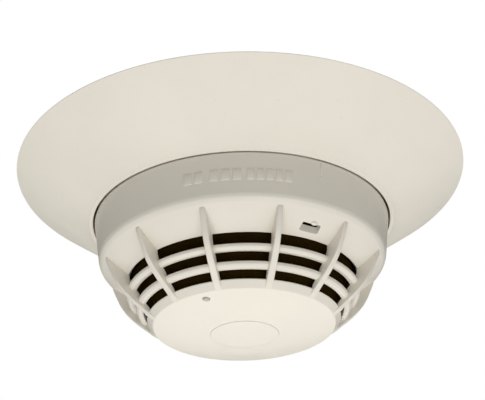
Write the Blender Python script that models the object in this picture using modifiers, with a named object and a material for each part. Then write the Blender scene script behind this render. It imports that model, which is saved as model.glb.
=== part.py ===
"""Ceiling heat detector: a plug-in detector head on a flanged mounting base.

Units are metres, +Z points up into the ceiling. The origin is the centre of
the back face that lies against the ceiling, and the detector hangs in -Z.
The head turns about Z to lock into the base; every piece is its own object.
"""
import bpy
import bmesh
from math import sin, cos, pi, radians, sqrt
from mathutils import Matrix, Vector

MM = 0.001

# ---- driving dimensions, millimetres ------------------------------------
SEG = 48                      # facets round the large turned pieces
SEG_SMALL = 12                # facets round pins, screws and leads

RIM_R = 77.5                  # flange, outside radius at the ceiling
RIM_H = 1.0                   # depth of the rim's edge below the ceiling
RIM_SEAT_R = 76.0             # where the rim's back chamfer meets the ceiling
FLANGE_LIP_R = 52.6           # where the cone of the flange meets its lip
FLANGE_LIP_Z = -18.6
FLANGE_BORE_R = 51.05         # opening that the head's collar passes
FLANGE_SEAT_Z = -17.0         # step inside the lip that sits under the skirt
FLANGE_WALL = 2.3             # flange skin, measured upright
FLANGE_CROWN = 0.06           # how far the flange cone bows outwards

PLATE_T = 2.6                 # mounting base plate
CABLE_HOLE_R = 17.0
BASE_WALL_IN_R = 45.0         # bayonet wall
BASE_WALL_OUT_R = 47.4
BASE_WALL_Z = -9.2
SKIRT_IN_R, SKIRT_OUT_R = 51.0, 52.9
SKIRT_Z = -16.7
SLOT_W = 4.0                  # fixing slots for ceiling-box screws
SLOT_IN_R = 28.5
SLOT_OUT_R = 41.0

LUG_COUNT = 3                 # bayonet lugs on the head, ledges in the base
LUG_Z_TOP, LUG_Z_BOT = -5.6, -7.1
LEDGE_Z_TOP, LEDGE_Z_BOT = -7.4, -9.2
LUG_HALF_W = 4.4
LEDGE_HALF_W = 5.1

CONTACT_ANGLES = (45.0, 135.0, 225.0, 315.0)
CONTACT_R = 30.0
TERMINAL_R = 23.0

LEVER_MID_ANGLE = -48.3       # tamper lock lever, a chord inside the base wall
LEVER_MID_R = 41.9
LEVER_HALF_L = 8.0
LEVER_Z = -5.6

BACK_Z_TOP, BACK_Z_BOT = -10.2, -12.2
BACK_R = 48.0
HUB_IN_R, HUB_OUT_R = 36.2, 38.6   # bayonet ring
POST_R_POS = 33.0
POST_ANGLES = (30.0, 150.0, 270.0)

PCB_R = 43.0
PCB_TOP, PCB_BOT = -27.0, -28.6

COLLAR_TOP = -9.9
COLLAR_R, COLLAR_Z = 50.25, -19.0    # widest part, just below the flange lip
COLLAR_NECK_R = 49.7                 # neck hidden inside the flange
COLLAR_END_R, COLLAR_END_Z = 48.5, -32.4
SHOULDER_R, SHOULDER_Z = 46.9, -34.95
CONE_END_R, CONE_END_Z = 39.0, -41.1
BAND_R, BAND_Z = 32.3, -53.35 # upper edge of the bottom cap
DISC_R, DISC_Z = 30.0, -55.95 # outer edge of the bottom disc
DOME_RADIUS = 140.0
DOME_Z = -59.2                # lowest point of the dome
FIN_COUNT = 12
FIN_T = 2.2
BADGE_R = 11.3

WINDOW_ANGLE = -59.6          # tool window in the cone, below the lock lever
WINDOW_R = 42.0
WINDOW_W, WINDOW_L = 6.5, 2.1
LAMP_R, LAMP_ANGLE = 26.9, -115.7

GAP = 0.3                     # clearance between pieces that rest together


# ---- scene and materials ------------------------------------------------
for ob in list(bpy.data.objects):
    bpy.data.objects.remove(ob, do_unlink=True)


def new_collection(name):
    coll = bpy.data.collections.new(name)
    bpy.context.scene.collection.children.link(coll)
    return coll


PARTS = new_collection("heat_detector")
TOOLS = new_collection("construction")


def new_material(name, rgb, roughness, metallic=0.0, alpha=1.0):
    mat = bpy.data.materials.new(name)
    mat.use_nodes = True
    bsdf = mat.node_tree.nodes["Principled BSDF"]
    bsdf.inputs["Base Color"].default_value = (*rgb, 1.0)
    bsdf.inputs["Roughness"].default_value = roughness
    bsdf.inputs["Metallic"].default_value = metallic
    bsdf.inputs["Alpha"].default_value = alpha
    return mat


BONE = (0.80, 0.76, 0.66)
BLACK = (0.02, 0.02, 0.02)
BRASS = (0.72, 0.53, 0.24)
STEEL = (0.62, 0.62, 0.62)


# ---- shape helpers ------------------------------------------------------
def add_object(name, mesh, mat, coll=None, matrix=None):
    ob = bpy.data.objects.new(name, mesh)
    (coll or PARTS).objects.link(ob)
    if matrix is not None:
        ob.matrix_world = matrix
    if mat is not None:
        mesh.materials.append(mat)
    if coll is TOOLS:
        ob.hide_render = True
        ob.display_type = "WIRE"
    return ob


def smooth(mesh, angle=35.0):
    mesh.shade_smooth()
    mesh.set_sharp_from_angle(angle=radians(angle))


def turned(name, profile, mat, closed, seg=SEG, coll=None, matrix=None):
    """A turned piece: the profile (r, z in mm) runs down its outer side."""
    bm = bmesh.new()
    verts = [bm.verts.new((r * MM, 0.0, z * MM)) for r, z in profile]
    for a, b in zip(verts, verts[1:]):
        bm.edges.new((a, b))
    if closed:
        bm.edges.new((verts[-1], verts[0]))
    mesh = bpy.data.meshes.new(name)
    bm.to_mesh(mesh)
    bm.free()
    ob = add_object(name, mesh, mat, coll, matrix)
    mod = ob.modifiers.new("turn", "SCREW")
    mod.axis = "Z"
    mod.angle = 2.0 * pi
    mod.steps = seg
    mod.render_steps = seg
    mod.use_merge_vertices = True
    mod.merge_threshold = 0.00001
    mod.use_smooth_shade = True
    return ob


def cylinder(name, r, z0, z1, mat, seg=SEG_SMALL, coll=None, matrix=None):
    """An upright cylinder between two heights, in mm."""
    bm = bmesh.new()
    bmesh.ops.create_cone(bm, cap_ends=True, segments=seg, radius1=r * MM,
                          radius2=r * MM, depth=(z1 - z0) * MM,
                          matrix=Matrix.Translation((0, 0, (z0 + z1) / 2 * MM)))
    mesh = bpy.data.meshes.new(name)
    bm.to_mesh(mesh)
    bm.free()
    smooth(mesh)
    return add_object(name, mesh, mat, coll, matrix)


def block(name, x, y, z, mat, coll=None, matrix=None):
    """A box from three (low, high) pairs, in mm."""
    bm = bmesh.new()
    size = [(b - a) * MM for a, b in (x, y, z)]
    mid = [(a + b) / 2 * MM for a, b in (x, y, z)]
    bmesh.ops.create_cube(bm, size=1.0, matrix=Matrix.Translation(mid)
                          @ Matrix.Diagonal((*size, 1.0)))
    mesh = bpy.data.meshes.new(name)
    bm.to_mesh(mesh)
    bm.free()
    return add_object(name, mesh, mat, coll, matrix)


def outline(name, points, thickness, mat, coll=None, matrix=None):
    """A flat outline (mm) given an even thickness about its own plane."""
    curve = bpy.data.curves.new(name, "CURVE")
    curve.dimensions = "2D"
    curve.fill_mode = "BOTH"
    curve.extrude = thickness / 2 * MM
    spline = curve.splines.new("POLY")
    spline.points.add(len(points) - 1)
    for p, (x, y) in zip(spline.points, points):
        p.co = (x * MM, y * MM, 0.0, 1.0)
    spline.use_cyclic_u = True
    guide = bpy.data.objects.new(name + "_guide", curve)
    TOOLS.objects.link(guide)
    graph = bpy.context.evaluated_depsgraph_get()
    mesh = bpy.data.meshes.new_from_object(guide.evaluated_get(graph))
    bpy.data.objects.remove(guide, do_unlink=True)
    bm = bmesh.new()
    bm.from_mesh(mesh)
    bmesh.ops.remove_doubles(bm, verts=bm.verts, dist=0.00001)
    bmesh.ops.recalc_face_normals(bm, faces=bm.faces)
    bm.to_mesh(mesh)
    bm.free()
    mesh.materials.clear()
    mesh.name = name
    return add_object(name, mesh, mat, coll, matrix)


def boolean(ob, tool, operation):
    mod = ob.modifiers.new(tool.name, "BOOLEAN")
    mod.operation = operation
    mod.solver = "EXACT"
    mod.object = tool


def radial(angle):
    """Local X points outwards at this angle, Y round the axis, Z up."""
    return Matrix.Rotation(radians(angle), 4, "Z")


def upright_section(angle):
    """Local X points outwards, local Y up, so a drawn section stands up."""
    return radial(angle) @ Matrix.Rotation(radians(90.0), 4, "X")


def on_circle(r, angle):
    a = radians(angle)
    return Vector((r * cos(a) * MM, r * sin(a) * MM, 0.0))


# ---- ceiling flange -----------------------------------------------------
def flange_z(t):
    """Height of the flange cone, t = 0 at the rim and 1 at the lip."""
    drop = FLANGE_LIP_Z + RIM_H
    return -RIM_H + drop * (t + FLANGE_CROWN * t * (1.0 - t))


def flange_r(t):
    return RIM_R + (FLANGE_LIP_R - RIM_R) * t


flange_mat = new_material("ceiling_flange", BONE, 0.45)
steps = 5
outer = [(flange_r(i / steps), flange_z(i / steps)) for i in range(steps + 1)]
lip = [(52.0, -19.0), (51.5, -19.1), (FLANGE_BORE_R, -18.8),
       (FLANGE_BORE_R, FLANGE_SEAT_Z), (SKIRT_OUT_R + GAP, FLANGE_SEAT_Z),
       (SKIRT_OUT_R + GAP, -15.9)]
inside = [(flange_r(t), flange_z(t) + FLANGE_WALL) for t in (0.55, 0.1)]
flange_profile = ([(RIM_SEAT_R, 0.0), (RIM_R, -0.75)] + outer + lip + inside
                  + [(flange_r(0.1), 0.0)])
turned("ceiling_flange", flange_profile, flange_mat, closed=True)

# ---- mounting base ------------------------------------------------------
base_mat = new_material("mounting_base", BONE, 0.5)
base = turned("mounting_base", [
    (SKIRT_OUT_R, 0.0), (SKIRT_OUT_R, SKIRT_Z), (SKIRT_IN_R, SKIRT_Z),
    (SKIRT_IN_R, -PLATE_T), (BASE_WALL_OUT_R, -PLATE_T),
    (BASE_WALL_OUT_R, BASE_WALL_Z), (BASE_WALL_IN_R, BASE_WALL_Z),
    (BASE_WALL_IN_R, -PLATE_T),
    (CABLE_HOLE_R, -PLATE_T), (CABLE_HOLE_R, 0.0)], base_mat, closed=True)

for i in range(LUG_COUNT):
    ledge = block("base_ledge_%d" % (i + 1), (39.4, 45.9),
                  (-LEDGE_HALF_W, LEDGE_HALF_W), (LEDGE_Z_BOT + 0.1, LEDGE_Z_TOP),
                  None, TOOLS, radial(i * 360.0 / LUG_COUNT))
    boolean(base, ledge, "UNION")

lever_place = radial(LEVER_MID_ANGLE)
ear = block("lever_ear", (39.2, 40.4), (LEVER_HALF_L - 2.6, LEVER_HALF_L + 2.6),
            (-7.6, -2.0), None, TOOLS, lever_place)
boolean(base, ear, "UNION")
pin_turn = (lever_place @ Matrix.Translation((0, LEVER_HALF_L * MM, LEVER_Z * MM))
            @ Matrix.Rotation(radians(90.0), 4, "Y"))
pin_hole = cylinder("pin_hole", 1.2, 38.0, 48.0, None, 12, TOOLS, pin_turn)
boolean(base, pin_hole, "DIFFERENCE")

for i in range(4):
    half = SLOT_W / 2.0
    ends = []
    for centre, start in ((SLOT_OUT_R, -90.0), (SLOT_IN_R, 90.0)):
        for k in range(6):
            a = radians(start + 36.0 * k)
            ends.append((centre + half * cos(a), half * sin(a)))
    slot = outline("fixing_slot_%d" % (i + 1), ends, 8.0, None, TOOLS,
                   radial(90.0 * i))
    boolean(base, slot, "DIFFERENCE")

for i, angle in enumerate(CONTACT_ANGLES):
    hole = cylinder("terminal_hole_%d" % (i + 1), 2.1, -4.0, -0.5, None, 12,
                    TOOLS, Matrix.Translation(on_circle(TERMINAL_R, angle)))
    boolean(base, hole, "DIFFERENCE")

# ---- base contacts and wiring terminals ---------------------------------
contact_mat = new_material("contact_brass", BRASS, 0.3, 1.0)
screw_mat = new_material("terminal_steel", STEEL, 0.35, 1.0)
clip = [(19.5, -2.9), (31.7, -2.9), (31.7, -9.0), (31.1, -9.0), (31.1, -3.5),
        (28.9, -3.5), (28.9, -9.0), (28.3, -9.0), (28.3, -3.5), (19.5, -3.5)]
for i, angle in enumerate(CONTACT_ANGLES):
    n = i + 1
    spot = Matrix.Translation(on_circle(TERMINAL_R, angle))
    strip = outline("base_contact_%d" % n, clip, 7.0, contact_mat, PARTS,
                    upright_section(angle))
    hole = cylinder("strip_hole_%d" % n, 2.1, -5.0, -2.0, None, 12, TOOLS, spot)
    boolean(strip, hole, "DIFFERENCE")
    clamp = block("terminal_clamp_%d" % n, (19.6, 26.4), (-3.9, 3.9),
                  (-4.8, -3.8), screw_mat, PARTS, radial(angle))
    hole = cylinder("clamp_hole_%d" % n, 2.1, -6.0, -3.0, None, 12, TOOLS, spot)
    boolean(clamp, hole, "DIFFERENCE")
    turned("terminal_screw_%d" % n,
           [(0, -0.9), (1.7, -0.9), (1.7, -5.1), (3.3, -5.1), (3.3, -6.6),
            (2.7, -7.2), (0, -7.2)], screw_mat, False, SEG_SMALL, PARTS, spot)

# ---- tamper lock lever --------------------------------------------------
lever_mat = new_material("lock_lever", BONE, 0.5)
pin_mat = new_material("lever_pin", STEEL, 0.35, 1.0)
# drawn in the chord's upright plane: along the chord, and up, from the pivot
arm = [(2.2, 1.9), (-2.2, 1.9), (-3.0, 0.7), (-17.6, 0.7), (-17.6, -2.1),
       (-14.6, -2.1), (-14.6, -0.7), (-3.0, -0.7), (-2.2, -1.9), (2.2, -1.9)]
pivot = lever_place @ Matrix.Translation((LEVER_MID_R * MM, LEVER_HALF_L * MM,
                                          LEVER_Z * MM))
side_view = pivot @ Matrix(((0, 0, 1, 0), (1, 0, 0, 0), (0, 1, 0, 0), (0, 0, 0, 1)))
lever = outline("lock_lever", arm, 2.0, lever_mat, PARTS, side_view)
lever_bore = cylinder("lever_bore", 1.15, 38.0, 48.0, None, 12, TOOLS, pin_turn)
boolean(lever, lever_bore, "DIFFERENCE")
cylinder("lever_pin", 0.8, 39.0, 46.5, pin_mat, 12, PARTS, pin_turn)

# ---- head back cover ----------------------------------------------------
back_mat = new_material("head_back_cover", BONE, 0.5)
back = turned("head_back_cover", [
    (0, BACK_Z_TOP), (BACK_R, BACK_Z_TOP), (BACK_R, BACK_Z_BOT),
    (0, BACK_Z_BOT)], back_mat, closed=False)
for i, angle in enumerate(POST_ANGLES):
    spot = Matrix.Translation(on_circle(POST_R_POS, angle))
    post = cylinder("board_post_%d" % (i + 1), 2.8, PCB_TOP + GAP, -11.0, None,
                    SEG_SMALL, TOOLS, spot)
    boolean(back, post, "UNION")
    bore = cylinder("post_bore_%d" % (i + 1), 1.6, -28.0, -18.5, None, 12,
                    TOOLS, spot)
    boolean(back, bore, "DIFFERENCE")
for i, angle in enumerate(CONTACT_ANGLES):
    way = block("blade_way_%d" % (i + 1), (CONTACT_R - 0.75, CONTACT_R + 0.75),
                (-3.4, 3.4), (-13.0, -9.5), None, TOOLS, radial(angle))
    boolean(back, way, "DIFFERENCE")
tool_way = cylinder("tool_way", 2.2, -13.0, -9.5, None, 16, TOOLS,
                    Matrix.Translation(on_circle(LEVER_MID_R + 0.3, WINDOW_ANGLE)))
boolean(back, tool_way, "DIFFERENCE")

# ---- bayonet ring on the back cover -------------------------------------
ring_mat = new_material("bayonet_ring", BONE, 0.5)
ring = turned("bayonet_ring", [
    (HUB_OUT_R, LUG_Z_TOP), (HUB_OUT_R, BACK_Z_TOP + GAP),
    (HUB_IN_R, BACK_Z_TOP + GAP), (HUB_IN_R, LUG_Z_TOP)], ring_mat, closed=True)
for i in range(LUG_COUNT):
    lug = block("bayonet_lug_%d" % (i + 1), (37.4, 43.8),
                (-LUG_HALF_W, LUG_HALF_W), (LUG_Z_BOT, LUG_Z_TOP - 0.1),
                None, TOOLS, radial(i * 360.0 / LUG_COUNT))
    boolean(ring, lug, "UNION")

# ---- head contact blades ------------------------------------------------
for i, angle in enumerate(CONTACT_ANGLES):
    block("head_contact_%d" % (i + 1), (CONTACT_R - 0.4, CONTACT_R + 0.4),
          (-3.0, 3.0), (PCB_TOP + GAP, -4.5), contact_mat, PARTS, radial(angle))

# ---- circuit board and what it carries ----------------------------------
board_mat = new_material("circuit_board", (0.02, 0.13, 0.06), 0.45)
board = cylinder("circuit_board", PCB_R, PCB_BOT, PCB_TOP, board_mat, SEG)
for i, angle in enumerate(POST_ANGLES):
    hole = cylinder("board_hole_%d" % (i + 1), 1.7, -30.0, -26.0, None, 12,
                    TOOLS, Matrix.Translation(on_circle(POST_R_POS, angle)))
    boolean(board, hole, "DIFFERENCE")
notch = cylinder("tool_notch", 2.6, -30.0, -26.0, None, 16, TOOLS,
                 Matrix.Translation(on_circle(LEVER_MID_R + 0.3, WINDOW_ANGLE)))
boolean(board, notch, "DIFFERENCE")

head_screw_mat = new_material("head_screw", STEEL, 0.35, 1.0)
for i, angle in enumerate(POST_ANGLES):
    turned("head_screw_%d" % (i + 1),
           [(0, -19.2), (1.3, -19.2), (1.3, PCB_BOT - GAP),
            (2.7, PCB_BOT - GAP), (2.7, -30.2), (2.1, -30.7), (0, -30.7)],
           head_screw_mat, False, SEG_SMALL, PARTS,
           Matrix.Translation(on_circle(POST_R_POS, angle)))

chip_mat = new_material("microcontroller", (0.03, 0.03, 0.03), 0.5)
block("microcontroller", (6.5, 13.5), (-3.5, 3.5), (PCB_TOP + GAP, -25.2), chip_mat)
capacitor_mat = new_material("capacitor", (0.05, 0.05, 0.09), 0.35)
for n, y in ((1, 9.0), (2, -9.0)):
    cylinder("capacitor_%d" % n, 4.0, PCB_TOP + GAP, -18.2, capacitor_mat,
             SEG_SMALL, PARTS, Matrix.Translation((-12.0 * MM, y * MM, 0.0)))
reed_mat = new_material("reed_switch", (0.55, 0.62, 0.58), 0.1)
cylinder("reed_switch", 1.3, -6.5, 6.5, reed_mat, 12, PARTS,
         Matrix.Translation((0.0, 19.0 * MM, -25.2 * MM))
         @ Matrix.Rotation(radians(90.0), 4, "Y"))
shield_mat = new_material("amplifier_shield", STEEL, 0.35, 1.0)
shield = block("amplifier_shield", (-6.0, 6.0), (-22.0, -12.0),
               (PCB_TOP + GAP, -22.6), shield_mat)
hollow = block("shield_hollow", (-5.5, 5.5), (-21.5, -12.5), (-28.0, -23.1),
               None, TOOLS)
boolean(shield, hollow, "DIFFERENCE")

# ---- sensing chamber ----------------------------------------------------
chamber_mat = new_material("chamber_black", BLACK, 0.6)
chamber_base = turned("chamber_base", [
    (0, PCB_BOT - GAP), (24.6, PCB_BOT - GAP), (24.6, -31.0), (22.0, -31.0),
    (22.0, -38.4), (0, -38.4)], chamber_mat, closed=False, seg=40)
EMITTER_ANGLE, DIODE_ANGLE = 20.0, 160.0
for name, angle in (("emitter", EMITTER_ANGLE), ("diode", DIODE_ANGLE)):
    holder = block(name + "_holder", (9.0, 19.5), (-3.4, 3.4), (-44.4, -38.0),
                   None, TOOLS, radial(angle))
    boolean(chamber_base, holder, "UNION")
    bore = cylinder(name + "_bore", 1.9, 7.0, 16.5, None, 12, TOOLS,
                    radial(angle) @ Matrix.Translation((0, 0, -41.4 * MM))
                    @ Matrix.Rotation(radians(90.0), 4, "Y"))
    boolean(chamber_base, bore, "DIFFERENCE")
emitter_mat = new_material("ir_emitter", (0.20, 0.18, 0.30), 0.15)
diode_mat = new_material("photodiode", (0.03, 0.03, 0.05), 0.15)
for name, angle, mat in (("ir_emitter", EMITTER_ANGLE, emitter_mat),
                         ("photodiode", DIODE_ANGLE, diode_mat)):
    cylinder(name, 1.5, 10.4, 16.0, mat, 12, PARTS,
             radial(angle) @ Matrix.Translation((0, 0, -41.4 * MM))
             @ Matrix.Rotation(radians(90.0), 4, "Y"))

chamber_cover = turned("chamber_cover", [
    (0, -51.2), (23.0, -51.2), (23.0, -35.0), (24.6, -35.0), (24.6, -52.6),
    (0, -52.6)], chamber_mat, closed=False, seg=40)
for i in range(6):
    vent = block("chamber_vent_%d" % (i + 1), (-27.0, 27.0), (-1.8, 1.8),
                 (-50.0, -45.0), None, TOOLS, radial(15.0 + 30.0 * i))
    boolean(chamber_cover, vent, "DIFFERENCE")

screen_mat = new_material("insect_screen", (0.04, 0.04, 0.04), 0.5, 0.6)
screen = [(37.2, -28.9), (37.2, -39.9), (35.3, -42.6), (32.9, -46.8),
          (31.0, -50.6), (30.2, -53.0)]
turned("insect_screen", screen + [(r - 0.4, z) for r, z in reversed(screen)],
       screen_mat, closed=True)

thermistor_mat = new_material("thermistor", (0.30, 0.06, 0.03), 0.3)
for n, angle in ((1, 0.0), (2, 180.0)):
    turned("thermistor_%d" % n, [
        (0, PCB_BOT - GAP), (0.5, PCB_BOT - GAP), (0.5, -46.6), (1.1, -47.5),
        (1.2, -48.7), (1.0, -49.8), (0.5, -50.4), (0, -50.5)],
        thermistor_mat, False, 12, PARTS,
        Matrix.Translation(on_circle(LAMP_R, angle)))

lamp_spot = Matrix.Translation(on_circle(LAMP_R, LAMP_ANGLE))
led_mat = new_material("indicator_led", (0.75, 0.10, 0.06), 0.25)
block("indicator_led", (-1.0, 1.0), (-0.8, 0.8), (-30.1, PCB_BOT - GAP), led_mat,
      PARTS, lamp_spot)
pipe_mat = new_material("light_pipe", (0.80, 0.82, 0.82), 0.05, 0.0, 0.35)
cylinder("light_pipe", 1.2, -57.2, -30.4, pipe_mat, 16, PARTS, lamp_spot)


# ---- outer cover: one moulding of collar, cone, bars, fins and disc -----
def dome_z(r, lowest=DOME_Z):
    return lowest + r * r / (2.0 * DOME_RADIUS)


cover_mat = new_material("outer_cover", BONE, 0.42)
cover = turned("outer_cover", [
    (COLLAR_NECK_R, COLLAR_TOP), (COLLAR_NECK_R, -18.7), (COLLAR_R, COLLAR_Z),
    (COLLAR_END_R, COLLAR_END_Z), (48.2, -33.0), (47.6, -34.05),
    (SHOULDER_R, SHOULDER_Z), (CONE_END_R, CONE_END_Z), (37.9, -39.7),
    (45.8, -33.55), (46.6, -32.2), (47.4, -27.0), (48.0, -22.0), (48.3, -18.5),
    (48.3, COLLAR_TOP)], cover_mat, closed=True)

fin_outer = [(46.5, -34.3), (46.55, -35.8), (45.9, -37.4), (44.8, -39.9),
             (43.5, -42.6), (42.0, -45.2), (40.3, -47.6), (38.3, -49.8),
             (36.2, -51.7), (33.9, -53.5), (32.2, -54.7), (30.4, -55.75)]
fin_inner = [(29.9, -55.3), (31.4, -54.0), (33.2, -52.2), (34.6, -50.0),
             (36.8, -46.4), (38.2, -42.6), (38.9, -40.3), (45.6, -34.5)]
for i in range(FIN_COUNT):
    fin = outline("fin_%d" % (i + 1), fin_outer + fin_inner, FIN_T, None, TOOLS,
                  upright_section(15.0 + 360.0 / FIN_COUNT * i))
    boolean(cover, fin, "UNION")


# two ring bars between the cone and the bottom cap, full towards the outside
for name, section in (
        ("upper_bar", [(39.0, -44.5), (39.0, -45.3), (38.5, -46.3), (37.6, -46.8),
                       (36.2, -46.7), (35.8, -45.4), (37.0, -43.7), (38.3, -43.9)]),
        ("lower_bar", [(35.75, -48.95), (35.75, -49.75), (35.3, -50.7),
                       (34.5, -51.2), (33.2, -51.2), (32.8, -49.9),
                       (33.9, -48.2), (35.1, -48.4)])):
    boolean(cover, turned(name, section, None, True, SEG, TOOLS), "UNION")

cap = turned("bottom_cap", [
    (0, -56.6), (14.0, -55.9), (24.0, -54.6), (29.2, -53.4),
    (BAND_R - 0.3, BAND_Z), (BAND_R, BAND_Z - 0.3), (30.55, -55.35),
    (DISC_R, DISC_Z + 0.1), (DISC_R - 0.6, DISC_Z - 0.12)]
    + [(r, dome_z(r)) for r in (27.0, 22.5, 17.0, BADGE_R + 0.3)]
    + [(BADGE_R + 0.3, dome_z(BADGE_R, -58.5)), (5.0, dome_z(5.0, -58.5)),
       (0, -58.5)], None, False, SEG, TOOLS)
boolean(cover, cap, "UNION")

window = block("tool_window", (WINDOW_R - WINDOW_L / 2, WINDOW_R + WINDOW_L / 2),
               (-WINDOW_W / 2, WINDOW_W / 2), (-44.0, -34.0), None, TOOLS,
               radial(WINDOW_ANGLE))
boolean(cover, window, "DIFFERENCE")
lamp_hole = cylinder("lamp_hole", 1.5, -60.0, -50.0, None, 16, TOOLS, lamp_spot)
boolean(cover, lamp_hole, "DIFFERENCE")

badge_mat = new_material("centre_badge", BONE, 0.4)
turned("centre_badge", [
    (0, -58.8), (BADGE_R - 0.1, dome_z(BADGE_R, -58.8)),
    (BADGE_R, dome_z(BADGE_R, -58.9)), (BADGE_R, dome_z(BADGE_R, -59.3)),
    (BADGE_R - 0.15, dome_z(BADGE_R, -59.4)), (6.0, dome_z(6.0, -59.4)),
    (0, -59.4)], badge_mat, closed=False, seg=48)

# ---- grouping -----------------------------------------------------------
BASE_PIECES = ("ceiling_flange", "mounting_base", "base_contact", "terminal",
               "lever_pin")
base_group = bpy.data.objects.new("base_assembly", None)
head_group = bpy.data.objects.new("head_assembly", None)
PARTS.objects.link(base_group)
PARTS.objects.link(head_group)
bpy.context.view_layer.update()
for ob in list(PARTS.objects):
    if ob.type != "MESH":
        continue
    world = ob.matrix_world.copy()
    if ob.name.startswith(BASE_PIECES) or ob is lever:
        ob.parent = base_group
    else:
        ob.parent = head_group
    ob.matrix_world = world
bpy.context.view_layer.update()
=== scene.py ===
"""Looks for the ceiling heat detector: fine meshes, plastic and metal materials, studio light."""
import bpy
import bmesh
from math import sin, cos, pi, radians, atan2, sqrt, tan, hypot
from mathutils import Matrix, Vector


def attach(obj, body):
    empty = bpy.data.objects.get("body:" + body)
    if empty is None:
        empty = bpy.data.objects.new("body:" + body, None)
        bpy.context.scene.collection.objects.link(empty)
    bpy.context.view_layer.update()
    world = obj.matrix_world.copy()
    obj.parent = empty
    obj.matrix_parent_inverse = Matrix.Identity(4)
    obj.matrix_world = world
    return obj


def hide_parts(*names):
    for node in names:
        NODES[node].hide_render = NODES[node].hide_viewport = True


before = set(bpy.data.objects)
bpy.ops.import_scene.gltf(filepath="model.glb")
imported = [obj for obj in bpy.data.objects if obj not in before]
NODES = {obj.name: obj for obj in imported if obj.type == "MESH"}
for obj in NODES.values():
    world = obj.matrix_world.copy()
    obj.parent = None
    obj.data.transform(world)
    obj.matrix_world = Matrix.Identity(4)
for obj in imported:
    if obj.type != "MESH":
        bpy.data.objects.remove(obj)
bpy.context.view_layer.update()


MM = 0.001
SEG = 192

# ------------------------------------------------------------------ materials


class Mat:
    """A Principled material with its colour, roughness and bump made from nodes."""

    def __init__(self, name):
        self.mat = bpy.data.materials.new(name)
        self.mat.use_nodes = True
        self.nt = self.mat.node_tree
        self.nt.nodes.clear()
        self.out = self.nt.nodes.new("ShaderNodeOutputMaterial")
        self.bsdf = self.nt.nodes.new("ShaderNodeBsdfPrincipled")
        self.nt.links.new(self.bsdf.outputs[0], self.out.inputs["Surface"])
        self.coord = self.nt.nodes.new("ShaderNodeTexCoord").outputs["Object"]

    def new(self, kind, **values):
        node = self.nt.nodes.new(kind)
        for key, value in values.items():
            setattr(node, key, value)
        return node

    def link(self, a, b):
        self.nt.links.new(a, b)

    def noise(self, scale, detail=2.0, rough=0.5, stretch=None):
        tex = self.new("ShaderNodeTexNoise")
        tex.inputs["Scale"].default_value = scale
        tex.inputs["Detail"].default_value = detail
        tex.inputs["Roughness"].default_value = rough
        vec = self.coord
        if stretch is not None:
            m = self.new("ShaderNodeMapping")
            m.inputs["Scale"].default_value = stretch
            self.link(vec, m.inputs["Vector"])
            vec = m.outputs[0]
        self.link(vec, tex.inputs["Vector"])
        return tex.outputs[0]

    def ramp(self, value, low, high, a, b):
        """value from low..high becomes colour a..b."""
        node = self.new("ShaderNodeValToRGB")
        node.color_ramp.elements[0].position = low
        node.color_ramp.elements[1].position = high
        node.color_ramp.elements[0].color = (*a, 1.0)
        node.color_ramp.elements[1].color = (*b, 1.0)
        self.link(value, node.inputs[0])
        return node.outputs[0]

    def span(self, value, low, high, a, b):
        node = self.new("ShaderNodeMapRange")
        for i, v in ((1, low), (2, high), (3, a), (4, b)):
            node.inputs[i].default_value = v
        self.link(value, node.inputs[0])
        return node.outputs[0]

    def math(self, op, a, b):
        node = self.new("ShaderNodeMath", operation=op)
        for i, v in ((0, a), (1, b)):
            if isinstance(v, (int, float)):
                node.inputs[i].default_value = v
            else:
                self.link(v, node.inputs[i])
        return node.outputs[0]

    def mix(self, factor, a, b, blend="MIX"):
        node = self.new("ShaderNodeMix", data_type="RGBA", blend_type=blend)
        for i, v in ((0, factor), (6, a), (7, b)):
            if isinstance(v, (int, float)):
                node.inputs[i].default_value = v
            elif isinstance(v, tuple):
                node.inputs[i].default_value = (*v, 1.0)
            else:
                self.link(v, node.inputs[i])
        return node.outputs[2]

    def bump(self, height, distance, strength=1.0, after=None):
        node = self.new("ShaderNodeBump")
        node.inputs["Distance"].default_value = distance
        node.inputs["Strength"].default_value = strength
        self.link(height, node.inputs["Height"])
        if after is not None:
            self.link(after, node.inputs["Normal"])
        return node.outputs[0]

    def set(self, **sockets):
        names = {"color": "Base Color", "rough": "Roughness", "metal": "Metallic",
                 "normal": "Normal", "spec": "Specular IOR Level", "alpha": "Alpha",
                 "ior": "IOR", "trans": "Transmission Weight", "coat": "Coat Weight",
                 "coat_rough": "Coat Roughness", "sss": "Subsurface Weight",
                 "sheen": "Sheen Weight"}
        for key, value in sockets.items():
            socket = self.bsdf.inputs[names[key]]
            if isinstance(value, (int, float)):
                socket.default_value = value
            elif isinstance(value, tuple):
                socket.default_value = (*value, 1.0)
            else:
                self.link(value, socket)
        return self.mat


def scaled(rgb, k):
    return tuple(min(1.0, c * k) for c in rgb)


def moulded(name, rgb, rough=0.45, grain=0.012, spread=0.02, spec=0.5):
    """Moulded ABS: a fine spark texture, faint flow mottling and dust speckle."""
    m = Mat(name)
    cloud = m.noise(38.0, 3.0, 0.55)
    colour = m.ramp(cloud, 0.35, 0.68, scaled(rgb, 1.0 - spread),
                    scaled(rgb, 1.0 + spread * 0.5))
    speck = m.noise(1500.0, 1.0, 0.4)
    fleck = m.ramp(speck, 0.70, 0.78, (1.0, 1.0, 1.0), (0.93, 0.925, 0.91))
    colour = m.mix(1.0, colour, fleck, "MULTIPLY")
    patch = m.noise(160.0, 2.0, 0.6)
    rough_map = m.span(patch, 0.3, 0.7, rough - 0.05, rough + 0.06)
    fine = m.noise(2600.0, 2.0, 0.6)
    wave = m.noise(420.0, 1.0, 0.5)
    normal = m.bump(wave, 0.00004, 0.25)
    normal = m.bump(fine, grain * MM, 1.0, normal)
    return m.set(color=colour, rough=rough_map, normal=normal, spec=spec)


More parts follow.
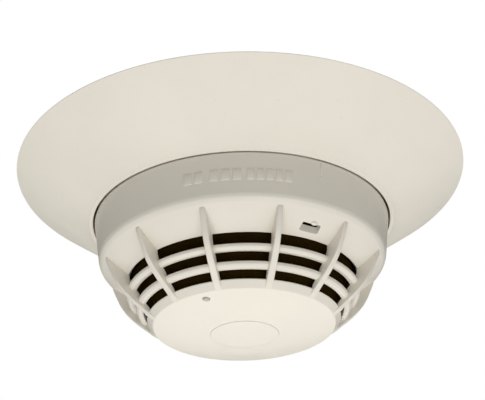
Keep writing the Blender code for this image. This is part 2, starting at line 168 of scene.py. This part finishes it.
def metal(name, rgb, rough, grain=(1.0, 1.0, 12.0), spread=0.08):
    m = Mat(name)
    streak = m.noise(900.0, 2.0, 0.6, grain)
    cloud = m.noise(300.0, 2.0, 0.5)
    colour = m.ramp(cloud, 0.3, 0.7, scaled(rgb, 1.0 - spread), scaled(rgb, 1.0 + spread))
    rough_map = m.span(streak, 0.3, 0.7, rough - 0.08, rough + 0.1)
    normal = m.bump(streak, 0.00001, 0.6)
    return m.set(color=colour, rough=rough_map, metal=1.0, normal=normal)


def dark_plastic(name, rgb, rough=0.6, spec=0.35):
    m = Mat(name)
    fine = m.noise(2400.0, 2.0, 0.6)
    cloud = m.noise(200.0, 2.0, 0.5)
    colour = m.ramp(cloud, 0.3, 0.7, scaled(rgb, 0.85), scaled(rgb, 1.15))
    rough_map = m.span(cloud, 0.3, 0.7, rough - 0.06, rough + 0.06)
    normal = m.bump(fine, 0.00002, 0.8)
    return m.set(color=colour, rough=rough_map, normal=normal, spec=spec)


def board_material():
    m = Mat("solder_mask_board")
    tracks = m.new("ShaderNodeTexBrick")
    tracks.inputs["Scale"].default_value = 260.0
    tracks.inputs["Mortar Size"].default_value = 0.035
    tracks.inputs["Brick Width"].default_value = 1.6
    tracks.inputs["Row Height"].default_value = 0.42
    m.link(m.coord, tracks.inputs["Vector"])
    colour = m.ramp(tracks.outputs["Fac"], 0.3, 0.7, (0.015, 0.10, 0.045), (0.03, 0.19, 0.08))
    normal = m.bump(tracks.outputs["Fac"], 0.00004, 0.6)
    cloud = m.noise(120.0)
    return m.set(color=colour, rough=m.span(cloud, 0.3, 0.7, 0.3, 0.4), normal=normal)


def glassy(name, rgb, rough=0.06, alpha=1.0, trans=0.0):
    m = Mat(name)
    cloud = m.noise(350.0)
    colour = m.ramp(cloud, 0.3, 0.7, scaled(rgb, 0.9), scaled(rgb, 1.08))
    rough_map = m.span(cloud, 0.3, 0.7, rough, rough + 0.06)
    return m.set(color=colour, rough=rough_map, alpha=alpha, trans=trans)


BONE = (0.800, 0.752, 0.655)
cover_mat = moulded("cover_plastic", BONE, 0.35)
flange_mat = moulded("flange_plastic", scaled(BONE, 0.99), 0.46)
badge_mat = moulded("badge_plastic", scaled(BONE, 1.0), 0.42, grain=0.006)
inner_mat = moulded("inner_plastic", scaled(BONE, 0.95), 0.55)
brass_mat = metal("contact_brass", (0.72, 0.53, 0.25), 0.32)
steel_mat = metal("zinc_steel", (0.66, 0.66, 0.64), 0.36)
tin_mat = metal("tinned_steel", (0.62, 0.62, 0.60), 0.42, (1.0, 1.0, 1.0))
black_mat = dark_plastic("chamber_black", (0.012, 0.011, 0.010), 0.65)
mesh_mat = dark_plastic("screen_black", (0.026, 0.014, 0.0015), 0.90, 0.02)
chip_mat = dark_plastic("chip_epoxy", (0.03, 0.03, 0.032), 0.5)
sleeve_mat = dark_plastic("capacitor_sleeve", (0.04, 0.045, 0.085), 0.35)
bead_mat = dark_plastic("thermistor_epoxy", (0.28, 0.055, 0.025), 0.3)
reed_mat = glassy("reed_glass", (0.50, 0.60, 0.54), 0.08, 0.6)
emitter_mat = glassy("emitter_epoxy", (0.20, 0.18, 0.30), 0.12)
diode_mat = glassy("diode_epoxy", (0.03, 0.03, 0.05), 0.12)
led_mat = glassy("led_epoxy", (0.70, 0.10, 0.06), 0.25)
pipe_mat = glassy("clear_pipe", (0.66, 0.62, 0.54), 0.10, 1.0, 0.20)
board_mat = board_material()

# ---------------------------------------------------------------- mesh helpers


def arc_corner(p0, p1, p2, r, n):
    """Points of a round of radius r at corner p1."""
    a = Vector(p0) - Vector(p1)
    b = Vector(p2) - Vector(p1)
    la, lb = a.length, b.length
    a.normalize(); b.normalize()
    dot = max(-1.0, min(1.0, a.dot(b)))
    from_turn = (pi - Vector((a.x, a.y)).angle(Vector((b.x, b.y)))) / 2.0
    if from_turn < 1e-3 or r <= 0.0:
        return [tuple(p1)]
    t = r * tan(from_turn)
    t = min(t, la * 0.49, lb * 0.49)
    r = t / tan(from_turn)
    start = Vector(p1) + a * t
    end = Vector(p1) + b * t
    bis = (a + b).normalized()
    centre = Vector(p1) + bis * (r / cos(from_turn))
    pts = []
    a0 = atan2(start.y - centre.y, start.x - centre.x)
    a1 = atan2(end.y - centre.y, end.x - centre.x)
    d = a1 - a0
    while d > pi: d -= 2 * pi
    while d < -pi: d += 2 * pi
    for i in range(n + 1):
        ang = a0 + d * i / n
        pts.append((centre.x + r * cos(ang), centre.y + r * sin(ang)))
    return pts


def rounded(corners, closed=True, n=4):
    """corners: (x, y, radius) -> polyline with rounded corners."""
    pts = []
    count = len(corners)
    for i, c in enumerate(corners):
        x, y = c[0], c[1]
        r = c[2] if len(c) > 2 else 0.0
        k = c[3] if len(c) > 3 else n
        if not closed and i in (0, count - 1):
            pts.append((x, y))
            continue
        p0 = corners[(i - 1) % count][:2]
        p2 = corners[(i + 1) % count][:2]
        pts += arc_corner(p0, (x, y), p2, r, k) if r > 0 else [(x, y)]
    return pts


def refine(points, closed, longest):
    """Adds points along the long straight runs of a polyline."""
    out = []
    count = len(points)
    for i in range(count if closed else count - 1):
        a, b = points[i], points[(i + 1) % count]
        k = max(1, int(hypot(b[0] - a[0], b[1] - a[1]) / longest + 0.999))
        for j in range(k):
            t = j / k
            out.append((a[0] + (b[0] - a[0]) * t, a[1] + (b[1] - a[1]) * t))
    if not closed:
        out.append(points[-1])
    return out


def place(name, verts, faces, mat, matrix=None, smooth_angle=None):
    mesh = bpy.data.meshes.new(name)
    mesh.from_pydata([tuple(v) for v in verts], [], faces)
    if matrix is not None:
        mesh.transform(matrix)
    mesh.validate()
    mesh.update()
    ob = bpy.data.objects.new(name, mesh)
    bpy.context.scene.collection.objects.link(ob)
    if mat is not None:
        mesh.materials.append(mat)
    shade(ob, smooth_angle)
    return ob


def shade(ob, angle=None):
    ob.data.shade_smooth()
    if angle is not None:
        ob.data.set_sharp_from_angle(angle=radians(angle))


def lathe(name, profile, mat=None, closed=True, seg=SEG, angle=38.0, matrix=None):
    """A turned mesh. The profile (r, z in mm) runs down the outer side."""
    verts, rows = [], []
    for r, z in profile:
        if abs(r) < 1e-6:
            rows.append([len(verts)] * seg)
            verts.append((0.0, 0.0, z * MM))
            continue
        start = len(verts)
        for k in range(seg):
            a = 2 * pi * k / seg
            verts.append((r * cos(a) * MM, r * sin(a) * MM, z * MM))
        rows.append([start + k for k in range(seg)])
    faces = []
    pairs = list(zip(rows, rows[1:])) + ([(rows[-1], rows[0])] if closed else [])
    for up, low in pairs:
        for k in range(seg):
            n = (k + 1) % seg
            quad = [up[k], low[k], low[n], up[n]]
            face = []
            for v in quad:
                if v not in face:
                    face.append(v)
            if len(face) > 2:
                faces.append(tuple(face))
    return place(name, verts, faces, mat, matrix, angle)


def baked(ob):
    """Applies an object's modifiers."""
    bpy.context.view_layer.update()
    graph = bpy.context.evaluated_depsgraph_get()
    mesh = bpy.data.meshes.new_from_object(ob.evaluated_get(graph))
    old = ob.data
    ob.modifiers.clear()
    ob.data = mesh
    bpy.data.meshes.remove(old)
    return ob


def combine(ob, tools, operation):
    """One Boolean of ob with all the tools, applied."""
    coll = bpy.data.collections.new("tools")
    for t in tools:
        for c in list(t.users_collection):
            c.objects.unlink(t)
        coll.objects.link(t)
    bpy.context.scene.collection.children.link(coll)
    mod = ob.modifiers.new("combine", "BOOLEAN")
    mod.operation = operation
    mod.operand_type = "COLLECTION"
    mod.collection = coll
    mod.solver = "EXACT"
    baked(ob)
    for t in tools:
        bpy.data.objects.remove(t, do_unlink=True)
    bpy.data.collections.remove(coll)
    return ob


def join(name, obs):
    """Joins meshes into the first object."""
    bm = bmesh.new()
    for o in obs:
        me = o.data.copy()
        me.transform(o.matrix_world)
        bm.from_mesh(me)
        bpy.data.meshes.remove(me)
    mats = list(obs[0].data.materials)
    mesh = bpy.data.meshes.new(name)
    bm.to_mesh(mesh)
    bm.free()
    for m in mats:
        mesh.materials.append(m)
    ob = bpy.data.objects.new(name, mesh)
    bpy.context.scene.collection.objects.link(ob)
    for o in obs:
        bpy.data.objects.remove(o, do_unlink=True)
    return ob


def weighted(ob, weight=60):
    mod = ob.modifiers.new("normals", "WEIGHTED_NORMAL")
    mod.keep_sharp = True
    mod.weight = weight
    return ob


def soft_box(name, x, y, z, r, mat, matrix=None, seg=2):
    """A block with rounded edges, from (low, high) pairs in mm."""
    bm = bmesh.new()
    bmesh.ops.create_cube(bm, size=1.0)
    for v in bm.verts:
        v.co = Vector(((x[0] + x[1]) / 2 + v.co.x * (x[1] - x[0]),
                       (y[0] + y[1]) / 2 + v.co.y * (y[1] - y[0]),
                       (z[0] + z[1]) / 2 + v.co.z * (z[1] - z[0]))) * MM
    if r > 0:
        bmesh.ops.bevel(bm, geom=bm.edges[:], offset=r * MM, segments=seg,
                        profile=0.5, affect="EDGES")
    mesh = bpy.data.meshes.new(name)
    bm.to_mesh(mesh)
    bm.free()
    if matrix is not None:
        mesh.transform(matrix)
    ob = bpy.data.objects.new(name, mesh)
    bpy.context.scene.collection.objects.link(ob)
    if mat is not None:
        mesh.materials.append(mat)
    shade(ob, 40.0)
    return ob


def radial(angle):
    return Matrix.Rotation(radians(angle), 4, "Z")


# ------------------------------------------------------------ ceiling flange
RIM_R, RIM_H, LIP_R, LIP_Z, CROWN = 77.5, 1.0, 52.6, -18.6, 0.06


def flange_point(t, lift=0.0):
    return (RIM_R + (LIP_R - RIM_R) * t,
            -RIM_H + (LIP_Z + RIM_H) * (t + CROWN * t * (1 - t)) + lift)


outer = [flange_point(i / 24) for i in range(25)]
outer[0] = (RIM_R, -RIM_H)
corners = [(76.0, 0.0, 0.2), (RIM_R, -0.78, 0.1), (RIM_R, -RIM_H, 0.12)]
corners += [(*p, 0.0) for p in outer[1:-1]]
corners += [(LIP_R, LIP_Z, 0.0), (52.15, -19.0, 0.5), (50.85, -19.2, 0.25),
            (50.85, -17.0, 0.15), (53.2, -17.0, 0.2), (53.2, -15.9, 0.5)]
corners += [(*flange_point(t, 2.3), 0.3) for t in (0.85, 0.7, 0.5, 0.3, 0.1)]
corners += [(flange_point(0.1)[0], 0.0, 0.1)]
flange = lathe("flange_moulding", rounded(corners, True, 4), flange_mat, True, 256)
ribs = []
for i in range(24):
    # low stiffening ribs inside the cone, every second one longer
    t0, t1 = (0.95, 0.16) if i % 2 == 0 else (0.95, 0.5)
    steps, quad = 8, []
    for side in (-0.6, 0.6):
        for k in range(steps + 1):
            t = t0 + (t1 - t0) * k / steps
            r, z = flange_point(t, 1.6)
            quad.append((r * MM, side * MM, z * MM))
        for k in range(steps, -1, -1):
            t = t0 + (t1 - t0) * k / steps
            rise = (4.4 if i % 2 == 0 else 3.0) * (1.0 - 0.72 * k / steps)
            r, z = flange_point(t, 2.3 + rise)
            quad.append((r * MM, side * MM, z * MM))
    n = 2 * (steps + 1)
    faces = [tuple(range(n)), tuple(range(2 * n - 1, n - 1, -1))]
    faces += [(k, k + n, (k + 1) % n + n, (k + 1) % n) for k in range(n)]
    ribs.append(place("rib", quad, faces, None, radial(7.5 + 15 * i), 40.0))
    bm = bmesh.new()
    bm.from_mesh(ribs[-1].data)
    bmesh.ops.recalc_face_normals(bm, faces=bm.faces)
    bm.to_mesh(ribs[-1].data)
    bm.free()
combine(flange, ribs, "UNION")
shade(flange, 38.0)
weighted(flange)
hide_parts("ceiling_flange")
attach(flange, "base")


# --------------------------------------------------------------- outer cover
def dome_z(r, lowest=-59.2):
    return lowest + r * r / 280.0


shell_corners = [
    (49.35, -9.9, 0.3), (49.35, -18.95), (50.25, -19.12, 0.12), (48.5, -32.4),
    (48.15, -33.5, 2.9, 7), (47.2, -34.62, 3.0, 5), (43.28, -38.08, 55.0, 8), (39.0, -41.1, 0.25), (37.9, -39.7, 0.4), (45.8, -33.55, 1.0),
    (46.6, -32.2), (47.4, -27.0), (48.0, -22.0), (48.3, -18.5), (48.3, -9.9, 0.3)]
shell = lathe("cover_moulding", refine(rounded(shell_corners, True, 4), True, 3.0), cover_mat)


def bar_ring(name, corners):
    return lathe(name, rounded(corners, True, 8), None)


tools = [bar_ring("upper_bar", [(39.0, -44.75, 0.35), (38.75, -45.7, 0.8), (37.75, -46.55, 1.1),
                                (36.2, -46.3, 0.35), (35.8, -45.3, 0.4), (37.0, -44.35, 0.5),
                                (38.4, -44.5, 0.4)]),
         bar_ring("lower_bar", [(35.75, -49.2, 0.35), (35.5, -50.15, 0.8), (34.55, -51.1, 1.1),
                                (33.2, -51.05, 0.35), (32.8, -50.0, 0.4), (33.9, -48.95, 0.5),
                                (35.15, -48.95, 0.4)])]

cap_corners = [(0.0, -56.6), (14.0, -55.9, 4.0), (24.0, -54.6, 3.0), (29.2, -53.4, 0.5),
               (32.35, -53.35, 0.3), (30.1, -55.95, 0.8, 8)]
cap_corners += [(r, dome_z(r), 0.0) for r in (29.0, 27.0, 25.0, 22.5, 20.0, 17.0, 14.0)]
cap_corners += [(11.32, dome_z(11.32), 0.0), (11.32, dome_z(11.32, -58.5), 0.0),
                (6.0, dome_z(6.0, -58.5)), (0.0, -58.5)]
tools.append(lathe("cap", rounded(cap_corners, False, 4), None, False))

FIN_OUTER = [(46.6, -34.3), (46.55, -35.7), (45.9, -37.4), (44.8, -39.9), (43.5, -42.6),
             (41.9, -45.2), (40.0, -47.45), (37.9, -49.6), (35.75, -51.45), (33.6, -53.25),
             (32.1, -54.6), (30.4, -55.75)]
FIN_INNER = [(45.6, -34.5), (38.9, -40.3), (38.7, -42.8), (37.2, -45.6), (35.4, -47.6),
             (34.2, -50.0), (32.2, -52.0), (31.0, -54.0), (29.9, -55.3)]


def along(points, t):
    """The point a fraction t of the way along a polyline."""
    lengths = [hypot(b[0] - a[0], b[1] - a[1]) for a, b in zip(points, points[1:])]
    left = t * sum(lengths)
    for (a, b), n in zip(zip(points, points[1:]), lengths):
        if left <= n or b is points[-1]:
            f = min(1.0, left / n)
            return (a[0] + (b[0] - a[0]) * f, a[1] + (b[1] - a[1]) * f)
        left -= n


def smooth_path(points, count):
    """A Catmull-Rom curve through the points, evenly sampled."""
    fine = []
    p = [points[0]] + list(points) + [points[-1]]
    for i in range(1, len(p) - 2):
        for k in range(12):
            t = k / 12
            q = []
            for a in (0, 1):
                p0, p1, p2, p3 = (p[i - 1][a], p[i][a], p[i + 1][a], p[i + 2][a])
                q.append(0.5 * (2 * p1 + (p2 - p0) * t + (2 * p0 - 5 * p1 + 4 * p2 - p3) * t * t
                                + (3 * p1 - p0 - 3 * p2 + p3) * t ** 3))
            fine.append(tuple(q))
    fine.append(points[-1])
    return [along(fine, i / (count - 1)) for i in range(count)]


def fin(name, angle, stations=30):
    edge = smooth_path(FIN_OUTER, stations)
    verts, loops = [], []
    for i, (ro, zo) in enumerate(edge):
        s = i / (stations - 1)
        ri, zi = along(FIN_INNER, s)
        half = 0.86 + 0.34 * s
        d = Vector((ri - ro, zi - zo))
        depth = d.length
        d.normalize()
        rnd = min(0.38, half * 0.6)
        section = [(depth, -half)]
        section += [(rnd - rnd * sin(a), -half + rnd - rnd * cos(a))
                    for a in (0.0, pi / 8, pi / 4, 3 * pi / 8, pi / 2)]
        section += [(u, -w) for u, w in reversed(section)]
        loop = []
        for u, w in section:
            loop.append(len(verts))
            verts.append(((ro + d.x * u) * MM, w * MM, (zo + d.y * u) * MM))
        loops.append(loop)
    faces = []
    n = len(loops[0])
    for a, b in zip(loops, loops[1:]):
        for k in range(n):
            m = (k + 1) % n
            faces.append((a[k], a[m], b[m], b[k]))
    faces.append(tuple(reversed(loops[0])))
    faces.append(tuple(loops[-1]))
    ob = place(name, verts, faces, None, radial(angle), 38.0)
    bm = bmesh.new()
    bm.from_mesh(ob.data)
    bmesh.ops.recalc_face_normals(bm, faces=bm.faces)
    bm.to_mesh(ob.data)
    bm.free()
    return ob


tools += [fin("fin_%d" % i, 15.0 + 30.0 * i) for i in range(12)]
combine(shell, tools, "UNION")

WINDOW_ANGLE, WINDOW_R = -59.6, 42.2
LAMP_R, LAMP_ANGLE = 26.9, -115.7


def prism(name, outline_pts, z0, z1, matrix=None):
    """A straight prism over a flat outline, in mm."""
    n = len(outline_pts)
    verts = [(x * MM, y * MM, z * MM) for z in (z0, z1) for x, y in outline_pts]
    faces = [tuple(reversed(range(n))), tuple(range(n, 2 * n))]
    faces += [(k, (k + 1) % n, (k + 1) % n + n, k + n) for k in range(n)]
    return place(name, verts, faces, None, matrix, 38.0)


# a low thumbnail lip over one end of the tool window
lip_ball = bmesh.new()
slope = atan2(6.15, 7.9)
bmesh.ops.create_uvsphere(lip_ball, u_segments=32, v_segments=16, radius=1.0)
mesh = bpy.data.meshes.new("window_lip")
lip_ball.to_mesh(mesh)
lip_ball.free()
mesh.transform(radial(WINDOW_ANGLE + 0.8)
               @ Matrix.Translation((43.5 * MM, 0.0, (-41.1 + 4.5 * 6.15 / 7.9 - 0.22) * MM))
               @ Matrix.Rotation(-slope, 4, "Y")
               @ Matrix.Diagonal((0.66 * MM, 1.25 * MM, 0.36 * MM, 1.0)))
lip_ob = bpy.data.objects.new("window_lip", mesh)
bpy.context.scene.collection.objects.link(lip_ob)

w, h, c = 3.25, 1.05, 0.4
window_outline = rounded([(WINDOW_R + h, -w, c), (WINDOW_R + h, w, c),
                          (WINDOW_R - h - 0.3, w, c), (WINDOW_R - h - 0.3, -w - 0.35, c)],
                         True, 4)
cut = [prism("window", window_outline, -46.0, -34.0, radial(WINDOW_ANGLE))]
lamp_at = Matrix.Translation((LAMP_R * cos(radians(LAMP_ANGLE)) * MM,
                              LAMP_R * sin(radians(LAMP_ANGLE)) * MM, 0.0))
zl = dome_z(LAMP_R)
cut.append(lathe("lamp", [(0, -50.0), (1.36, -50.0), (1.36, -54.95), (1.22, -55.1),
                          (1.22, zl + 0.08), (1.32, zl - 0.02), (1.32, -60.5), (0, -60.5)], None, False, 48, 38.0, lamp_at))
combine(shell, cut, "DIFFERENCE")
combine(shell, [lip_ob], "UNION")
shade(shell, 38.0)
for edge in shell.data.edges:
    # a crisp crease where the collar meets the shoulder
    ends = [shell.data.vertices[k].co for k in edge.vertices]
    if all(abs(hypot(c.x, c.y) - 48.5 * MM) < 2e-5 and abs(c.z + 32.4 * MM) < 2e-5 for c in ends):
        edge.use_edge_sharp = True
weighted(shell)
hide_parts("outer_cover")
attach(shell, "head")

# ten small blank raised pads on the collar, in groups of two, three and five,
# and a short mould line with a tiny pip under it
pads = []
for az, wide in ((-19.4, 1.35), (-15.3, 1.35), (-9.6, 1.35), (-5.4, 1.35), (-1.2, 1.35),
                 (3.7, 1.15), (7.2, 1.15), (10.7, 1.15), (14.2, 1.15), (17.7, 1.15)):
    tilt = Matrix.Translation((49.29 * MM, 0, -26.3 * MM)) @ Matrix.Rotation(radians(7.5), 4, "Y")
    pads.append(soft_box("pad", (-0.8, 0.17), (-wide, wide), (-1.85, 1.85), 0.15,
                         cover_mat, radial(az - 90.0) @ tilt))
tilt = Matrix.Translation((49.88 * MM, 0, -21.9 * MM)) @ Matrix.Rotation(radians(7.5), 4, "Y")
pads.append(soft_box("pad", (-0.6, 0.16), (-0.2, 0.2), (-2.0, 2.0), 0.08, cover_mat,
                     radial(30.4 - 90.0) @ tilt))
tilt = Matrix.Translation((49.5 * MM, 0, -24.8 * MM)) @ Matrix.Rotation(radians(7.5), 4, "Y")
pads.append(soft_box("pad", (-0.6, 0.2), (-0.32, 0.32), (-0.32, 0.32), 0.12, cover_mat,
                     radial(30.4 - 90.0) @ tilt))
marks = join("collar_pads", pads)
shade(marks, 40.0)
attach(marks, "head")

badge = lathe("badge_disc", rounded(
    [(0, -58.8), (11.2, dome_z(11.2, -58.8), 0.1), (11.3, dome_z(11.3, -59.4), 0.12),
     (9.0, dome_z(9.0, -59.4)), (6.0, dome_z(6.0, -59.4)), (3.0, dome_z(3.0, -59.4)),
     (0, -59.4)], False, 3), badge_mat, False, 128)
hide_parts("centre_badge")
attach(badge, "head")

# ------------------------------------------------------------- insect screen
screen_path = [(37.2, -28.9), (37.2, -39.9), (35.3, -42.6), (32.9, -46.8), (31.0, -50.6),
               (30.2, -53.0)]
gauze = lathe("screen_gauze", [(r - 0.22, z) for r, z in screen_path]
              + [(r - 0.36, z) for r, z in reversed(screen_path)], mesh_mat, True, 96, None)
screen_line = [(r - 0.17, min(z, -29.05)) for r, z in refine(screen_path, False, 0.9)]
screen = lathe("screen_weave", screen_line, mesh_mat, False, 256, None)
wires = screen.modifiers.new("wires", "WIREFRAME")
wires.thickness = 0.24 * MM
wires.use_even_offset = False
wires.use_boundary = True
baked(screen)
screen = join("screen_weave", [screen, gauze])
screen.data.shade_smooth()
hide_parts("insect_screen")
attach(screen, "head")

pipe_at = Matrix.Translation((LAMP_R * cos(radians(LAMP_ANGLE)) * MM,
                              LAMP_R * sin(radians(LAMP_ANGLE)) * MM, 0.0))
pipe = lathe("pipe_rod", [(0, -30.5), (1.1, -30.5), (1.2, -30.8), (1.2, -54.6), (1.05, -54.75),
                          (1.05, -56.45), (1.02, -56.75), (0.88, -56.98), (0.66, -57.12),
                          (0.35, -57.19), (0, -57.2)],
             pipe_mat, False, 48, 50.0, pipe_at)
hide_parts("light_pipe")
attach(pipe, "head")

# ------------------------------------------------------------- mounting base
base = lathe("base_moulding", rounded([
    (52.9, 0.0, 0.25), (52.9, -16.7, 0.25), (51.0, -16.7, 0.25), (51.0, -2.6, 0.3),
    (47.4, -2.6, 0.3), (47.4, -9.2, 0.3), (45.0, -9.2, 0.3), (45.0, -2.6, 0.3),
    (17.0, -2.6, 0.4), (17.0, 0.0, 0.4), (19.6, 0.0, 0.1), (19.8, -0.4, 0.1),
    (26.0, -0.4, 0.1), (26.2, 0.0, 0.1), (43.8, 0.0, 0.1), (44.2, -1.2, 0.2),
    (51.2, -1.2, 0.2), (51.5, 0.0, 0.1)], True, 3), inner_mat, True, 144)
added = [soft_box("rib", (44.0, 51.35), (-0.6, 0.6), (-1.35, -0.06), 0.0, None,
                  radial(11.25 + 22.5 * i)) for i in range(16)]
added += [soft_box("rib", (19.7, 26.1), (-0.6, 0.6), (-0.5, -0.06), 0.0, None,
                   radial(22.5 + 45.0 * i)) for i in range(8)]
added += [soft_box("ledge", (39.4, 45.9), (-5.1, 5.1), (-9.1, -7.4), 0.3, None,
                   radial(120.0 * i)) for i in range(3)]
added.append(soft_box("ear", (39.2, 40.4), (5.4, 10.6), (-7.6, -2.0), 0.25, None,
                      radial(-48.3)))
combine(base, added, "UNION")
obround = []
for centre, start in ((41.0, -90.0), (28.5, 90.0)):
    for k in range(13):
        a = radians(start + 15.0 * k)
        obround.append((centre + 2.0 * cos(a), 2.0 * sin(a)))
removed = [prism("slot", obround, -5.0, 1.0, radial(90.0 * i)) for i in range(4)]
for angle in (45.0, 135.0, 225.0, 315.0):
    a = radians(angle)
    removed.append(lathe("hole", [(0, -0.55), (2.1, -0.55), (2.1, -4.0), (0, -4.0)], None, False,
                         32, 38.0, Matrix.Translation((23.0 * cos(a) * MM, 23.0 * sin(a) * MM, 0))))
pin_line = (radial(-48.3) @ Matrix.Translation((0, 8.0 * MM, -5.6 * MM))
            @ Matrix.Rotation(radians(90.0), 4, "Y"))
removed.append(lathe("pin_hole", [(0, 49.0), (1.2, 49.0), (1.2, 38.0), (0, 38.0)], None, False,
                     32, 38.0, pin_line))
combine(base, removed, "DIFFERENCE")
shade(base, 38.0)
weighted(base)
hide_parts("mounting_base")
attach(base, "base")


# ------------------------------------------------------------ recessed screws
def recessed_screw(name, profile, tip_z, matrix, body):
    """A turned screw with a cross recess in its lower face."""
    screw = lathe(name, profile, steel_mat, False, 48, 38.0, matrix)
    wings = []
    for turn in (0.0, 90.0):
        wings.append(soft_box("wing", (-1.35, 1.35), (-0.28, 0.28), (tip_z - 0.5, tip_z + 0.9),
                              0.0, None, matrix @ radial(turn + 20.0)))
    combine(screw, wings, "DIFFERENCE")
    shade(screw, 38.0)
    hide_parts(name)
    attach(screw, body)
    return screw


for i, angle in enumerate((45.0, 135.0, 225.0, 315.0)):
    a = radians(angle)
    at = Matrix.Translation((23.0 * cos(a) * MM, 23.0 * sin(a) * MM, 0))
    ob = recessed_screw("terminal_screw_%d" % (i + 1), rounded(
        [(0, -0.9), (1.7, -0.9, 0.3), (1.7, -5.1), (3.3, -5.1, 0.15), (3.3, -6.7, 0.3),
         (2.6, -7.2, 0.4), (0, -7.2)], False, 3), -7.2, at, "base")
for i, angle in enumerate((30.0, 150.0, 270.0)):
    a = radians(angle)
    at = Matrix.Translation((33.0 * cos(a) * MM, 33.0 * sin(a) * MM, 0))
    ob = recessed_screw("head_screw_%d" % (i + 1), rounded(
        [(0, -19.2), (1.3, -19.2, 0.2), (1.3, -28.9), (2.7, -28.9, 0.1), (2.7, -30.2, 0.3),
         (2.1, -30.7, 0.4), (0, -30.7)], False, 3), -30.7, at, "head")

# --------------------------------------------------- carried-over CAD pieces
finish = {"mounting_base": inner_mat, "head_back_cover": inner_mat, "lock_lever": inner_mat,
          "bayonet_ring": inner_mat,
          "lever_pin": steel_mat, "circuit_board": board_mat, "microcontroller": chip_mat,
          "reed_switch": reed_mat, "amplifier_shield": tin_mat, "chamber_base": black_mat,
          "chamber_cover": black_mat, "ir_emitter": emitter_mat, "photodiode": diode_mat,
          "insect_screen": mesh_mat, "indicator_led": led_mat, "light_pipe": pipe_mat}
REPLACED = ("outer_cover", "ceiling_flange", "centre_badge", "insect_screen", "light_pipe",
            "mounting_base", "terminal_screw_1", "terminal_screw_2", "terminal_screw_3",
            "terminal_screw_4", "head_screw_1", "head_screw_2", "head_screw_3")
SOFTENED = ("bayonet_ring", "lock_lever", "terminal_clamp_1", "terminal_clamp_2",
            "terminal_clamp_3", "terminal_clamp_4", "microcontroller", "amplifier_shield")
for name, ob in NODES.items():
    mat = finish.get(name)
    if mat is None:
        for start, m in (("base_contact", brass_mat), ("head_contact", brass_mat),
                         ("terminal", steel_mat), ("head_screw", steel_mat),
                         ("capacitor", sleeve_mat), ("thermistor", bead_mat)):
            if name.startswith(start):
                mat = m
    if mat is None or name in REPLACED:
        continue
    ob.data.materials.clear()
    ob.data.materials.append(mat)
    if name in SOFTENED:
        edge = ob.modifiers.new("edges", "BEVEL")
        edge.width = 0.15 * MM
        edge.segments = 2
        edge.limit_method = "ANGLE"
        edge.angle_limit = radians(50.0)

# ----------------------------------------------------------- stage and light
floor = place("floor", [(-3, -3, -0.75), (3, -3, -0.75), (3, 3, -0.75), (-3, 3, -0.75)],
              [(0, 1, 2, 3)], None)
fm = Mat("studio_floor")
floor.data.materials.append(fm.set(
    color=fm.ramp(fm.noise(3.0), 0.3, 0.7, (0.80, 0.80, 0.79), (0.83, 0.83, 0.82)), rough=0.8))

world = bpy.data.worlds.new("studio")
bpy.context.scene.world = world
world.use_nodes = True
wt = world.node_tree
wt.nodes.clear()
w_out = wt.nodes.new("ShaderNodeOutputWorld")
w_mix = wt.nodes.new("ShaderNodeMixShader")
w_path = wt.nodes.new("ShaderNodeLightPath")
w_light = wt.nodes.new("ShaderNodeBackground")
w_seen = wt.nodes.new("ShaderNodeBackground")
w_light.inputs[0].default_value = (1.0, 1.0, 1.0, 1.0)
w_light.inputs[1].default_value = 0.10
w_seen.inputs[0].default_value = (1.0, 1.0, 1.0, 1.0)
w_seen.inputs[1].default_value = 1.0
wt.links.new(w_path.outputs["Is Camera Ray"], w_mix.inputs[0])
wt.links.new(w_light.outputs[0], w_mix.inputs[1])
wt.links.new(w_seen.outputs[0], w_mix.inputs[2])
wt.links.new(w_mix.outputs[0], w_out.inputs[0])


def area(name, at, look, size, power, color=(1.0, 1.0, 1.0)):
    data = bpy.data.lights.new(name, "AREA")
    data.shape = "SQUARE"
    data.size = size
    data.energy = power
    data.color = color
    ob = bpy.data.objects.new(name, data)
    bpy.context.scene.collection.objects.link(ob)
    ob.location = at
    ob.rotation_euler = (Vector(look) - Vector(at)).to_track_quat("-Z", "Y").to_euler()
    ob.visible_camera = False
    return ob


area("table", (0, 0, -0.60), (0, 0, 0), 5.0, 57.5)
area("overhead", (0.3, -0.3, 1.3), (0, 0, 0), 1.0, 14.0)
area("low", (-0.13, -0.09, -0.46), (0, 0, -0.05), 0.08, 0.15)
area("side", (0.35, -0.61, -0.56), (0, 0, -0.02), 0.45, 0.78)

# ------------------------------------------------------------------- camera
PAN, TILT, ROLL = 0.0013700, 0.5068236, -0.0270033
fwd = Vector((sin(PAN) * cos(TILT), cos(PAN) * cos(TILT), sin(TILT)))
right = fwd.cross(Vector((0, 0, 1))).normalized()
up = right.cross(fwd)
r2 = right * cos(ROLL) + up * sin(ROLL)
u2 = -right * sin(ROLL) + up * cos(ROLL)
cam_data = bpy.data.cameras.new("camera")
cam = bpy.data.objects.new("camera", cam_data)
bpy.context.scene.collection.objects.link(cam)
rot = Matrix((r2, u2, -fwd)).transposed().to_4x4()
cam.matrix_world = Matrix.Translation((0.0, -0.37472, -0.21617)) @ rot
cam_data.sensor_width = 36.0
cam_data.sensor_fit = "HORIZONTAL"
cam_data.lens = 1230.0 / 485.0 * 36.0
cam_data.clip_start = 0.01
cam_data.clip_end = 20.0
bpy.context.scene.camera = cam
bpy.context.scene.view_settings.view_transform = "Standard"
bpy.context.scene.view_settings.look = "None"
